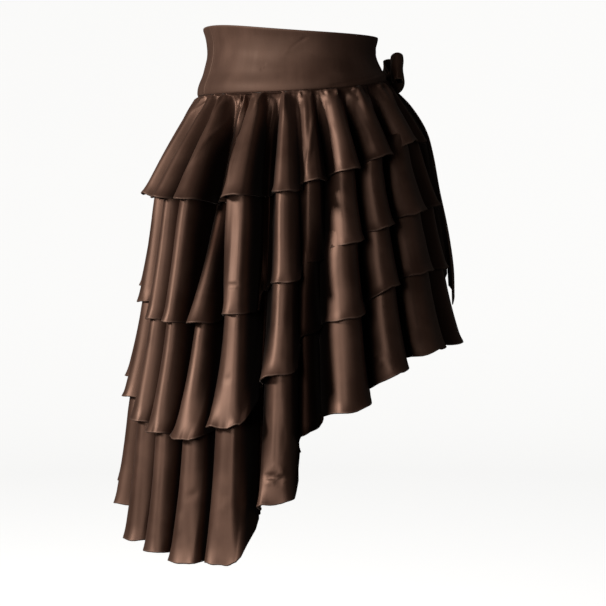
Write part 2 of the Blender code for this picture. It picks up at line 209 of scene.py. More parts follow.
# Pleats and soft bends in the bow, in metres. The knot's pleats are shares of its size
KNOT_PLEAT = 0.055
KNOT_PLEAT_TURNS = 13.0
KNOT_BAND = 0.52
KNOT_SWELL = 0.07
KNOT_MOST_SWELL = 1.10
LOOP_PLEAT = 0.0010
LOOP_SOFT = 0.0006
LOOP_CURL = 0.0012
TAIL_PLEAT = 0.0011
TAIL_SOFT = 0.0007
# Rows and columns of points in each sheet
YOKE_GRID = (56, 300)
TIER_ROWS, HEM_ROWS = 50, 8
KNOT_GRID = (40, 72)
LOOP_GRID = (33, 97)
TAIL_GRID = (110, 29)

# A crease runs between two places on a piece, each an angle in degrees and a share of the way down.
# Its width and height are in millimetres, and a height under nothing is a trough. The tables list
# the values in the order of the names.
Crease = namedtuple("Crease", "start_deg start_down end_deg end_down width height")
TIER_CREASES = {
    "tier_1": (
        (174.0, 0.16, 181.0, 0.85, 2.0, 1.7), (157.0, 0.12, 155.0, 0.98, 2.0, 1.7),
        (118.0, 0.12, 123.5, 0.98, 2.0, 1.6), (141.0, 0.05, 145.5, 0.60, 2.4, -1.0),
        (120.0, 0.04, 121.5, 0.55, 2.6, -1.0), (127.0, 0.04, 122.5, 0.98, 2.0, 0.9),
        (111.0, 0.06, 110.0, 0.62, 2.4, 0.9), (96.0, 0.10, 92.5, 0.98, 2.2, 0.8),
        (85.0, 0.04, 81.0, 0.50, 3.0, 1.0), (76.0, 0.03, 74.0, 0.32, 2.4, -1.1),
        (66.0, 0.05, 69.0, 0.45, 3.0, 1.0), (185.0, 0.05, 184.0, 0.70, 2.4, 0.9),
        (205.0, 0.05, 207.0, 0.80, 2.6, 0.9), (224.0, 0.04, 222.0, 0.66, 2.4, 1.0),
        (239.0, 0.04, 237.0, 0.90, 2.2, 0.9), (256.0, 0.05, 254.0, 0.60, 2.6, -1.0),
        (270.0, 0.05, 268.0, 0.75, 2.4, 0.9), (298.0, 0.04, 295.0, 0.80, 2.6, 1.0),
        (331.0, 0.04, 329.0, 0.70, 2.4, 0.9), (364.0, 0.05, 362.0, 0.66, 2.4, 0.9),
    ),
    "tier_2": (
        (146.5, 0.80, 156.5, 0.80, 1.1, -1.3), (152.0, 0.20, 151.5, 0.95, 2.6, -1.2),
        (108.5, 0.20, 109.5, 0.98, 2.4, 0.9), (92.5, 0.20, 92.0, 0.95, 2.6, 0.8),
        (88.0, 0.30, 87.0, 0.98, 2.4, 0.7), (222.5, 0.20, 223.0, 0.90, 2.6, 0.9),
        (254.0, 0.25, 253.0, 0.98, 2.4, 0.9), (296.0, 0.20, 295.0, 0.90, 2.6, 0.9),
        (330.0, 0.20, 329.0, 0.98, 2.4, 0.8),
    ),
    "tier_3": (
        (109.0, 0.20, 108.5, 0.98, 2.4, 0.9), (131.0, 0.40, 131.5, 0.98, 2.6, -0.8),
        (93.0, 0.25, 92.5, 0.98, 2.6, 0.8), (151.5, 0.62, 153.0, 0.70, 1.6, -0.7),
        (206.0, 0.25, 205.5, 0.95, 2.8, 0.9), (238.0, 0.20, 237.0, 0.98, 2.4, 0.9),
        (269.0, 0.25, 268.0, 0.90, 2.6, 0.9), (312.0, 0.20, 311.5, 0.98, 2.4, 0.8),
        (346.0, 0.20, 345.0, 0.95, 2.4, 0.8),
    ),
    "tier_4": (
        (138.0, 0.82, 129.5, 0.84, 2.0, -2.4), (134.5, 0.73, 130.5, 0.87, 1.8, 2.0),
        (136.5, 0.79, 132.5, 0.90, 1.8, -2.0), (137.5, 0.88, 133.0, 0.80, 1.6, 1.6),
        (131.5, 0.30, 131.0, 0.72, 2.4, 1.2), (100.0, 0.60, 95.5, 0.95, 2.2, 1.6),
        (163.0, 0.54, 166.0, 0.60, 1.8, -1.6), (149.5, 0.60, 152.0, 0.70, 1.4, 0.8),
        (131.5, 0.30, 131.0, 0.98, 2.6, -0.9), (135.0, 0.30, 135.5, 0.98, 2.8, 0.9),
        (93.5, 0.40, 94.0, 0.98, 1.6, -0.9), (168.5, 0.68, 170.0, 0.84, 2.0, 0.8),
        (83.0, 0.55, 80.5, 0.98, 1.6, 0.9), (205.0, 0.30, 206.5, 0.98, 2.8, 0.9),
        (223.0, 0.55, 221.0, 0.90, 2.4, -0.8), (253.0, 0.30, 252.5, 0.98, 2.6, 0.9),
        (295.0, 0.30, 294.0, 0.98, 2.6, 0.9), (329.0, 0.30, 328.0, 0.98, 2.6, 0.8),
    ),
}
YOKE_CREASES = (
    (119.0, 0.08, 134.0, 0.40, 2.2, -0.7), (121.0, 0.10, 136.0, 0.44, 2.4, 0.5),
    (146.0, 0.56, 152.0, 0.66, 2.0, -0.4), (112.0, 0.97, 70.0, 0.82, 1.4, -0.9),
    (70.0, 0.82, 30.0, 0.62, 1.6, -1.1), (96.0, 0.90, 60.0, 0.86, 3.0, 0.6),
    (60.0, 0.30, 34.0, 0.46, 2.6, 0.8), (52.0, 0.16, 33.0, 0.36, 2.0, -0.8),
    (48.0, 0.62, 32.0, 0.54, 1.8, 0.9), (214.0, 0.10, 212.0, 0.80, 2.0, 0.5),
    (286.0, 0.10, 272.0, 0.44, 2.4, -0.7), (300.0, 0.97, 346.0, 0.84, 1.4, -0.9),
    (346.0, 0.84, 386.0, 0.62, 1.6, -1.1), (358.0, 0.28, 383.0, 0.44, 2.6, 0.8),
    (364.0, 0.14, 384.0, 0.34, 2.0, -0.8),
)

SENSOR_MM = 36.0


# Sizes to change

def length_property(name, description, default, **more):
    """A length in metres."""
    return FloatProperty(
        name=name, description=description, default=default, subtype="DISTANCE", unit="LENGTH", **more)


def colour_property(name, description, default):
    """A colour without alpha."""
    return FloatVectorProperty(
        name=name, description=description, default=default, subtype="COLOR", size=3, min=0.0, max=1.0)


class SkirtCloth(bpy.types.PropertyGroup):
    """Sizes of the cloth and its sewing."""

    wall: length_property(
        "Cloth", "Thickness of one layer of satin with its drape",
        0.0009, min=0.0004, max=0.0014, precision=4)
    hem_roll: length_property(
        "Rolled hem", "Thickness of the narrow rolled hem", 0.0021, min=0.0010, max=0.0030, precision=4)
    hem_flick: length_property(
        "Hem flick", "How far the hem turns outwards", 0.0024, min=0.0, max=0.006, precision=4)
    gather_count: IntProperty(
        name="Gathers", description="Small gathers along the waist seam", default=74, min=20, max=300)
    gather_height: length_property(
        "Gather height", "Greatest height of a gather under the waist seam",
        0.0058, min=0.0, max=0.007, precision=4)
    ripple_height: length_property(
        "Ripple height", "Height of the soft ripples between the main folds",
        0.0011, min=0.0, max=0.003, precision=4)
    crease_strength: FloatProperty(
        name="Creases", description="Strength of the named creases", default=1.0, min=0.0, max=2.0,
        subtype="FACTOR")
    yoke_wall: length_property(
        "Yoke", "Thickness of the stiffened yoke", 0.0016, min=0.0008, max=0.002, precision=4)
    ribbon_wall: length_property(
        "Ribbon", "Thickness of the tie's doubled cloth", 0.0014, min=0.0006, max=0.0018, precision=4)


class SkirtFinish(bpy.types.PropertyGroup):
    """Colours and threads of the satin."""

    satin: colour_property("Satin", "Colour of the satin", (0.102, 0.052, 0.036))
    satin_deep: colour_property(
        "Deep satin", "Colour of the satin where it is mottled darker", (0.064, 0.030, 0.020))
    # painted shade: the near-black colour laid on the satin deep between two folds
    hollow_painted_shade: colour_property(
        "Hollow satin", "Colour of the satin deep between two folds", (0.007, 0.003, 0.002))
    # painted highlight: rolled hems and ribbon edges are painted lighter, for the light their turned edge
    # catches
    hem: colour_property("Hem thread", "Colour of the rolled hem", (0.125, 0.072, 0.053))
    metallic: FloatProperty(
        name="Lustre", description="How far highlights take the cloth's own colour",
        default=0.45, min=0.0, max=1.0, subtype="FACTOR")
    roughness: FloatProperty(
        name="Roughness", description="Mean roughness of the satin's face", default=0.47,
        min=0.1, max=1.0, subtype="FACTOR")
    thread: length_property(
        "Thread", "Distance between the fine threads", 0.0006, min=0.0002, max=0.002, precision=5)


class SkirtStage(bpy.types.PropertyGroup):
    """Camera, floor and light."""

    camera_turn: FloatProperty(
        name="Camera turn", description="Camera's angle behind the wearer's pure right side",
        default=math.radians(40.0), subtype="ANGLE", unit="ROTATION")
    camera_distance: length_property("Camera distance", "From the middle of the skirt to the camera", 3.5)
    camera_side: length_property(
        "Camera side", "How far the camera stands to the right of the middle", 0.0159, precision=4)
    camera_height: length_property("Camera height", "Camera's height", -0.198, precision=3)
    target_height: length_property("Target height", "Height the camera looks at", -0.335, precision=3)
    lens: FloatProperty(name="Lens", description="Lens in millimetres", default=157.2)
    floor_height: length_property("Floor", "Height of the floor", -1.02)
    floor_colour: colour_property("Floor colour", "Colour of the floor", (0.86, 0.86, 0.855))
    floor_glow: FloatProperty(
        name="Floor light", description="Light of the floor's own, which keeps it pale", default=0.97)
    key_power: FloatProperty(name="Key lamp", description="Power of the key lamp in watts", default=80.0)
    fill_power: FloatProperty(name="Fill lamp", description="Power of the fill lamp in watts", default=22.0)
    sky: FloatProperty(name="Room light", description="Strength of the room's even light", default=0.035)


# Small sums

def smooth_step(x):
    """0 to 1 with level ends."""
    x = np.clip(x, 0.0, 1.0)
    return x * x * (3.0 - 2.0 * x)


def mix(a, b, share):
    """From a to b as share goes from 0 to 1."""
    return a + (b - a) * share


def on_ring(angle_deg, radius, z):
    """Points at angles from the front, turning through the wearer's right."""
    angle = np.radians(angle_deg)
    return np.stack(np.broadcast_arrays(-radius * np.sin(angle), -radius * np.cos(angle), z), axis=-1)


def oval_radius(radius, oval, angle_deg):
    """Radius at an angle of an oval that is wider from side to side than from front to back."""
    angle = np.radians(angle_deg)
    wide = radius * (1.0 + oval)
    deep = radius * (1.0 - oval)
    return wide * deep / np.hypot(deep * np.sin(angle), wide * np.cos(angle))


def smooth_line(at, places, values):
    """Values between named places on a smooth line through them all."""
    places, values = np.asarray(places, float), np.asarray(values, float)
    slopes = np.gradient(values, places)
    at = np.clip(at, places[0], places[-1])
    left = np.clip(np.searchsorted(places, at, side="right") - 1, 0, len(places) - 2)
    width = places[left + 1] - places[left]
    t = (at - places[left]) / width
    return (
        values[left] * (2 * t ** 3 - 3 * t ** 2 + 1) + values[left + 1] * (3 * t ** 2 - 2 * t ** 3)
        + slopes[left] * width * (t ** 3 - 2 * t ** 2 + t) + slopes[left + 1] * width * (t ** 3 - t ** 2)
    )


def from_opening(angle_deg):
    """Degrees between angles and the wrap opening, at most 180."""
    return np.abs((angle_deg - OPENING_DEG + 180.0) % 360.0 - 180.0)


def part_at_opening(angle_deg, half_gap_deg):
    """Spreads the angles beside the wrap opening apart, by nothing at the back seam."""
    from_back = (angle_deg - BACK_SEAM_DEG) / 180.0
    return angle_deg - half_gap_deg * np.sign(from_back) * np.abs(from_back) ** OPENING_REACH


def bell(away, width):
    """1 at no distance, falling softly to nothing some widths away."""
    return np.exp(-(away / width) ** 2)


def outward_normals(grid):
    """Unit normals of a grid of points, on its outer side."""
    across = np.gradient(grid, axis=1)
    down = np.gradient(grid, axis=0)
    normal = np.cross(across, down)
    return normal / np.maximum(np.linalg.norm(normal, axis=-1, keepdims=True), 1e-9)


def hollow_shade_share(points, reach):
    """How deep each point lies in a hollow, from 0 on the ridges to 1, judged by its neighbours' radius: the
    share of painted shade it gets.
    """
    radius = np.hypot(points[..., 0], points[..., 1])
    padded = np.pad(radius, ((0, 0), (reach, reach)), mode="edge")
    ridge = np.lib.stride_tricks.sliding_window_view(padded, 2 * reach + 1, axis=1).max(axis=-1)
    return np.clip((ridge - radius) / FULL_SHADE_DEPTH, 0.0, 1.0)


def lengths_along(grid, axis):
    """Length in metres from the first point to each point of a grid, along one axis."""
    steps = np.linalg.norm(np.diff(grid, axis=axis), axis=-1)
    total = np.cumsum(steps, axis=axis)
    return np.concatenate([np.zeros_like(np.take(total, [0], axis=axis)), total], axis=axis)


def wander(at, seed, waves, shortest, longest):
    """An uneven line of the sum of waves, from about -1 to 1."""
    chance = np.random.default_rng(seed)
    total = 0.0
    for _ in range(waves):
        length = chance.uniform(shortest, longest)
        total = total + np.sin(math.tau * at / length + chance.uniform(0.0, math.tau))
    return total / math.sqrt(waves)


# The cloth's surfaces

def yoke_bottom(angle_deg):
    """The waist seam's height: level at the back, rising to the tie."""
    share = (1.0 + np.cos(np.radians(from_opening(angle_deg)))) / 2.0
    return YOKE_BOTTOM + YOKE_BOTTOM_RISE * share ** YOKE_BOTTOM_RISE_POWER


def yoke_top(angle_deg):
    """The top edge's height: higher at the back, and drawn down to the tie at the opening."""
    turn = np.radians(from_opening(angle_deg))
    near = 1.0 - smooth_step(from_opening(angle_deg) / YOKE_END_DEG)
    level = YOKE_TOP - YOKE_TOP_TILT * np.cos(turn) - YOKE_TOP_SIDE_DIP * np.sin(turn) ** 2
    return level - YOKE_END_TAPER * near


def yoke_radius(down, angle_deg):
    """The yoke's radius, with a flatter lip at the front and drawn out below by the tie."""
    near = 1.0 - smooth_step(from_opening(angle_deg) / YOKE_END_DEG)
    pull = YOKE_END_PULL * near ** 3 * mix(0.15, 1.0, smooth_step(down * 1.04))
    front = (1.0 + np.cos(np.radians(from_opening(angle_deg)))) / 2.0
    flat = YOKE_FRONT_LIP * front * (1.0 - down) ** 4
    radius = smooth_line(down, YOKE_DOWN, YOKE_RADIUS)
    oval = smooth_line(down, YOKE_DOWN, YOKE_OVAL)
    return oval_radius(radius, oval, angle_deg) + pull - flat


def fold_columns(steps):
    """Values across every fold in turn, as arrays with one place for each column of the cloth."""
    columns = []
    last = len(FOLDS) - 1
    for index, fold in enumerate(FOLDS):
        before = FOLDS[index - 1] if index else fold
        after = FOLDS[index + 1] if index < last else fold
        start = before.groove if index else OPENING_DEG
        for step in range(steps + (index == last)):
            phase = step / steps - 0.5
            hollow, neighbour = (before, before) if phase < 0.0 else (fold, after)
            steep = smooth_step((abs(2.0 * phase) - DROP_WALL) / DROP_WALL_WIDTH)
            even = abs(2.0 * phase) + math.sin(math.tau * abs(phase)) / math.pi
            slope = mix(DROP_SLOPE_FRONT, DROP_SLOPE_BACK, smooth_step(1.3 * fold.drop_2))
            aside = mix(steep, min(even, 1.0), slope)
            deep = [mix(hollow.depth_1, hollow.depth_4, share) for share in (0.0, 0.7, 0.85, 1.0)]
            share_down = mix(
                DROP_SHARE_FRONT, DROP_SHARE_BACK, smooth_step(0.65 * (fold.drop_2 + neighbour.drop_2)))
            drops = [
                mix(mine, other, aside * (share_down if mine > other else 1.0 - share_down))
                for mine, other in zip(fold[-4:], neighbour[-4:])
            ]
            half_width = fold.crest - start if phase < 0.0 else fold.groove - fold.crest
            set_in = (fold.set_in_1, fold.set_in_2, fold.set_in_2, fold.set_in_2)
            columns.append([fold.crest, half_width, phase, *set_in, *hollow.open, *deep, *drops])
    table = np.array(columns).T
    values = dict(zip(("crest", "half_width", "phase"), table))
    values["hollow"] = (1.0 - np.cos(math.tau * values["phase"])) / 2.0
    for number, name in enumerate(("set_in", "open", "depths", "drops")):
        values[name] = table[3 + 4 * number:7 + 4 * number]
    return values


def hem_line(columns, index, belly, down):
    """Ridge-line radius, depth inside it, angle and height along a tier's hem."""
    tier = TIERS[index]
    drop = columns["drops"][index]
    half_gap = mix(OPENING_AT_WAIST_DEG, OPENING_AT_HEM_DEG, (index + down) / len(TIERS))
    opened = columns["open"][index]
    wide, narrow = np.maximum(opened, 0.0), np.maximum(-opened, 0.0)
    swing = belly * (1.0 - 0.5 * wide - 0.6 * narrow) / math.tau
    swing = swing * np.sin(math.tau * columns["phase"])
    angle = columns["crest"] + 2.0 * columns["half_width"] * (columns["phase"] + swing)
    angle = angle + down ** 0.5 * smooth_line(angle, LEAN_AT_DEG, LEAN[index])
    angle = part_at_opening(angle, half_gap)
    ridge = oval_radius(mix(tier.front_radius, tier.back_radius, np.minimum(drop, 1.0)), HEM_OVAL, angle)
    hollow = mix(columns["hollow"] ** RIDGE_FULLNESS, smooth_step(2.0 * columns["hollow"]), wide)
    hollow = mix(hollow, smooth_step((columns["hollow"] - 0.5) / 0.35), 2.0 * narrow)
    depth = (columns["depths"][index] * hollow + columns["set_in"][index] * (1.0 - hollow)) / 1000.0
    z = mix(tier.front_z, tier.back_z, drop) - tier.crest_sag * (1.0 - columns["hollow"])
    place = columns["crest"] + 2.0 * columns["half_width"] * columns["phase"]
    z = z + HEM_WAVE * wander(place, 30 + index, 6, 2.5, 9.0)
    return ridge, depth * tier.depth, angle, z


def add_creases(points, angles, downs, creases, strength):
    """Height of the named creases at each point of a grid: soft ridges and troughs between two places."""
    height = np.zeros(points.shape[:2])
    flat = points.reshape(-1, 3)
    column_places = np.arange(points.shape[1])
    for crease in map(Crease._make, creases):
        low, high = sorted((crease.start_deg, crease.end_deg))
        if low > angles.max() or high < angles.min():
            continue
        stops = []
        for share in np.linspace(0.0, 1.0, 9):
            row = np.interp(mix(crease.start_down, crease.end_down, share), downs, np.arange(len(downs)))
            row = int(round(float(row)))
            wanted = mix(crease.start_deg, crease.end_deg, share)
            column = int(round(float(np.interp(wanted, angles[row], column_places))))
            stops.append(points[row, column])
        nearest = np.full(len(flat), 1e9)
        along = np.zeros(len(flat))
        for number, (a, b) in enumerate(zip(stops, stops[1:])):
            run = b - a
            t = np.clip((flat - a) @ run / max(run @ run, 1e-12), 0.0, 1.0)
            away = np.linalg.norm(flat - (a + t[:, None] * run), axis=1)
            closer = away < nearest
            nearest = np.where(closer, away, nearest)
            along = np.where(closer, (number + t) / (len(stops) - 1), along)
        ends = smooth_step(along / 0.3) * smooth_step((1.0 - along) / 0.3)
        ridge = crease.height / 1000.0 * strength * ends * bell(nearest, crease.width / 1000.0)
        height += ridge.reshape(height.shape)
    return height


def tier_downs(rows, hem_rows, hem_share):
    """Shares of the way down a tier, closer together at its seam and in its hem."""
    even = np.linspace(0.0, 1.0, rows)
    body = mix(even, smooth_step(even), 0.5) * (1.0 - hem_share)
    hem = 1.0 - hem_share * (1.0 - np.linspace(0.0, 1.0, hem_rows + 1)[1:])
    return np.concatenate([body, hem])


def tier_detail(base, angles, downs, index, cloth):
    """Height of ripples, creases, seam lines and the hem's flick over a tier's smooth folds."""
    tier = TIERS[index]
    chance = np.random.default_rng(410 + index)
    place = lengths_along(base[[-1]], axis=1)[0]
    total = place[-1]
    down = downs[:, None]
    tall = np.linalg.norm(base[-1] - base[0], axis=-1)[None, :]
    height = np.zeros(base.shape[:2])

    # soft ridges that run down the cloth, each with its own lean, width and reach
    for _ in range(int(total / RIPPLE_EVERY)):
        middle = chance.uniform(0.0, total)
        lean = chance.uniform(-RIPPLE_LEAN, RIPPLE_LEAN)
        wide = chance.uniform(*RIPPLE_WIDTH)
        tall_by = cloth.ripple_height * chance.uniform(0.2, 0.8)
        first, last = chance.uniform(-0.1, 0.45), chance.uniform(0.6, 1.25)
        away = place[None, :] - (middle + lean * down)
        reach = smooth_step((down - first) / 0.25) * smooth_step((last - down) / 0.25)
        height += tall_by * reach * bell(away, wide)

    # broad unevenness, outwards only, away from the tier below
    for _ in range(UNEVEN_WAVES):
        length = chance.uniform(*UNEVEN_LENGTH)
        lean = chance.uniform(-0.6, 0.6)
        turn = math.tau * (place[None, :] / length + lean * down) + chance.uniform(0.0, 6.28)
        height += cloth.ripple_height * 0.16 * (1.0 + np.sin(turn)) * down ** 0.5

    fade_in = smooth_step((down - (0.0 if index == 0 else 0.12)) / 0.22)
    height *= fade_in
    height += add_creases(base, angles, downs, TIER_CREASES[tier.name], cloth.crease_strength) * (
        1.0 if index == 0 else fade_in)

    # the line of stitches that holds the next tier, with small puckers
    if index < len(TIERS) - 1:
        seam = bell((down - TUCK_DOWN) * tall, STITCH_WIDTH)
        pucker = bell((down - TUCK_DOWN) * tall, PUCKER_WIDTH)
        shows = np.clip(wander(place[None, :], 60 + index, 3, 0.10, 0.40), 0.0, 1.0)
        height += pucker * 0.00005 * (1.0 + wander(place[None, :], 70 + index, 7, 0.004, 0.013)) * shows
        height -= seam * 0.00006 * shows

    # the hem's flick
    in_hem = np.clip((down - (1.0 - 2.2 * HEM_SHARE)) / (2.2 * HEM_SHARE), 0.0, 1.0)
    flick = cloth.hem_flick * (0.55 + 0.45 * wander(place[None, :], 90 + index, 6, 0.010, 0.045))
    height += np.maximum(flick, 0.0002) * in_hem ** 2
    return height


def waist_gathers(angles, downs, cloth):
    """Height of the gathers that fan out from the waist seam."""
    chance = np.random.default_rng(77)
    height = np.zeros((len(downs), angles.shape[1]))
    down = downs[:, None]
    crests = np.array([fold.crest for fold in FOLDS])
    first, last = angles[0, 0], angles[0, -1]
    spacing = (last - first) / cloth.gather_count
    for number in range(cloth.gather_count):
        start = first + spacing * (number + chance.uniform(0.1, 0.9))
        crest = crests[np.argmin(np.abs(crests - start))]
        pulled = start + (crest - start) * chance.uniform(0.2, 0.75)
        reach = chance.choice(GATHER_REACH, p=GATHER_REACH_CHANCE) * chance.uniform(0.8, 1.2)
        wide = chance.uniform(*GATHER_WIDTH)
        tall_by = cloth.gather_height * chance.uniform(0.30, 1.25)
        at = mix(start, pulled, smooth_step(down / max(reach, 0.2)))
        away = np.radians(angles - at) * GATHER_RADIUS
        spread = wide * (1.0 + 0.9 * down / reach)
        height += tall_by * bell(away, spread) * (1.0 - smooth_step(down / reach))
    height -= cloth.gather_height * 0.55 * (1.0 - smooth_step(down / 0.22))
    return height


def first_tier(columns, downs, cloth):
    """The top tier: gathered along the waist seam, then spreading in cones to its hem."""
    down = downs[:, None]
    ridge, depth, angle, hem_z = hem_line(columns, 0, TIERS[0].belly * down, down)
    top_radius = yoke_radius(np.ones_like(angle), angle)
    held = smooth_step(from_opening(angle) / YOKE_END_DEG)
    share = down + FIRST_TIER_BULGE * np.sin(math.pi * down) * held
    radius = mix(top_radius, ridge, share) - depth * down ** FIRST_TIER_DEPTH_EASE
    height = mix(yoke_bottom(angle) - SEAM_GAP, hem_z, down)
    base = on_ring(angle, radius, height)
    normals = outward_normals(base)
    detail = tier_detail(base, angle, downs, 0, cloth)
    points = base + normals * detail[..., None]

    # under the yoke's edge the cloth is gathered, puffs a little and turns in behind the seam
    gathers = waist_gathers(angle, downs, cloth) * (1.0 - 0.75 * columns["hollow"] ** 2)
    puff = WAIST_PUFF * smooth_step(down / 0.03) * (1.0 - smooth_step(down / 0.30))
    tucked = 1.0 - smooth_step(down / 0.035)
    outward = on_ring(angle, 1.0, 0.0)
    shift = gathers * smooth_step(down / 0.05) + puff - WAIST_TURN_IN * tucked
    points = points + outward * shift[..., None]
    return points


def lower_tier(columns, downs, index, top, cloth):
    """A tier sewn inside the one above it, on that tier's own folds, and hanging from there."""
    down = downs[:, None]
    top_radius = np.hypot(top[:, 0], top[:, 1])
    ridge, depth, hem_angle, hem_z = hem_line(columns, index, TIERS[index].belly, 1.0)
    hem_radius = ridge - depth
    top_angle = np.degrees(np.arctan2(-top[:, 0], -top[:, 1]))
    top_angle += 360.0 * np.round((hem_angle - top_angle) / 360.0)
    hollow = columns["hollow"]
    inwards = mix(down ** RIDGE_EASE, 1.0 - (1.0 - down) ** BELLY_EASE, hollow)
    outwards = down ** mix(RIDGE_EASE, HOLLOW_EASE, hollow)
    ease = np.where(hem_radius < top_radius, inwards, outwards)
    angle = mix(top_angle, hem_angle, 1.0 - (1.0 - down) ** TURN_EASE)
    base = on_ring(angle, mix(top_radius, hem_radius, ease), mix(top[:, 2], hem_z, down))
    normals = outward_normals(base)
    detail = tier_detail(base, angle, downs, index, cloth)
    return base + normals * detail[..., None]


def tuck_line(points, downs, wall):
    """The line inside a tier that the next tier hangs from."""
    normals = outward_normals(points)
    inner = points - normals * (wall + TUCK_GAP)
    row = np.interp(TUCK_DOWN, downs, np.arange(len(downs)))
    upper = int(row)
    return mix(inner[upper], inner[upper + 1], row - upper)


# Meshes and finish

def add_mesh(name, points, faces, places):
    """A smooth object of points and faces, with a place on the cloth for each corner of its faces."""
    mesh = bpy.data.meshes.new(name)
    mesh.from_pydata(points.reshape(-1, 3).tolist(), [], faces)
    layer = mesh.uv_layers.new(name="cloth")
    layer.data.foreach_set("uv", places.astype(np.float32).ravel())
    mesh.shade_smooth()
    piece = bpy.data.objects.new(name, mesh)
    bpy.context.scene.collection.objects.link(piece)
    return piece


def add_sheet(name, grid, u, v, wall, edge_rows=None, edge_wall=None):
    """A sheet of cloth through a grid of points, left to right seen from outside, thick on its inner side."""
    rows, columns = grid.shape[:2]
    number = np.arange(rows * columns).reshape(rows, columns)
    corners = np.stack([number[:-1, :-1], number[:-1, 1:], number[1:, 1:], number[1:, :-1]], axis=-1)
    corners = corners.reshape(-1, 4)
    places = np.stack([u.ravel(), v.ravel()], axis=-1)[corners.ravel()]
    piece = add_mesh(name, grid, corners.tolist(), places)
    thick = piece.modifiers.new("wall", "SOLIDIFY")
    thick.offset = -1.0
    thick.thickness = edge_wall or wall
    if edge_wall:
        group = piece.vertex_groups.new(name="roll")
        for row, weight in edge_rows.items():
            group.add(number[row].tolist(), weight, "REPLACE")
        thick.vertex_group = group.name
        thick.thickness_vertex_group = wall / edge_wall
    return piece


class Wire:
    """A shader socket that can be used in sums. Each sum adds its Math node."""

    def __init__(self, finish, socket):
        self.finish, self.socket = finish, socket

    def math(self, operation, *values):
        node = self.finish.node("ShaderNodeMath", {"operation": operation}, dict(enumerate(values)))
        return Wire(self.finish, node.outputs[0])

    def __add__(self, other):
        return self.math("ADD", self, other)

    def __sub__(self, other):
        return self.math("SUBTRACT", self, other)

    def __rsub__(self, other):
        return self.math("SUBTRACT", other, self)

    def __mul__(self, other):
        return self.math("MULTIPLY", self, other)

    def between(self, low, high):
        """0 at low and 1 at high, smoothly."""
        node = self.finish.node(
            "ShaderNodeMapRange", {"interpolation_type": "SMOOTHSTEP"},
            {"Value": self, "From Min": low, "From Max": high})
        return Wire(self.finish, node.outputs[0])


class Finish:
    """A material under construction."""

    def __init__(self, name):
        self.material = bpy.data.materials.new(name)
        self.material.use_nodes = True
        self.tree = self.material.node_tree
        self.shader = self.tree.nodes["Principled BSDF"]

    def node(self, kind, settings=None, inputs=None):
        """Adds a node, sets it, then gives its sockets their values or links."""
        node = self.tree.nodes.new(kind)
        for name, value in (settings or {}).items():
            setattr(node, name, value)
        for key, value in (inputs or {}).items():
            self.join(value, node.inputs[key])
        return node

    def join(self, value, socket):
        """Links a wire or socket to a socket, or sets the socket's value."""
        if isinstance(value, Wire):
            value = value.socket
        if isinstance(value, bpy.types.NodeSocket):
            self.tree.links.new(value, socket)
        else:
            socket.default_value = value

    def wire(self, node, output=0):
        return Wire(self, node.outputs[output])

    def noise(self, vector, scale, detail=2.0, roughness=0.5):
        """A noise's value at a vector."""
        node = self.node(
            "ShaderNodeTexNoise", {},
            {"Vector": vector, "Scale": scale, "Detail": detail, "Roughness": roughness})
        return self.wire(node)

    def stretched(self, vector, scale):
        """A vector scaled on each axis."""
        return self.node("ShaderNodeMapping", {}, {"Vector": vector, "Scale": scale}).outputs[0]

    def blend(self, share, first, second):
        """A colour between two."""
        node = self.node(
            "ShaderNodeMix", {"data_type": "RGBA"},
            {"Factor": share, 6: first, 7: second})
        return node.outputs[2]

    def bump(self, height, distance, strength, normal=None):
        """A normal raised by a height."""
        inputs = {"Height": height, "Distance": distance, "Strength": strength}
        if normal is not None:
            inputs["Normal"] = normal
        return self.node("ShaderNodeBump", {}, inputs).outputs[0]


def colour(values):
    """A property's colour with full alpha."""
    return (*values, 1.0)


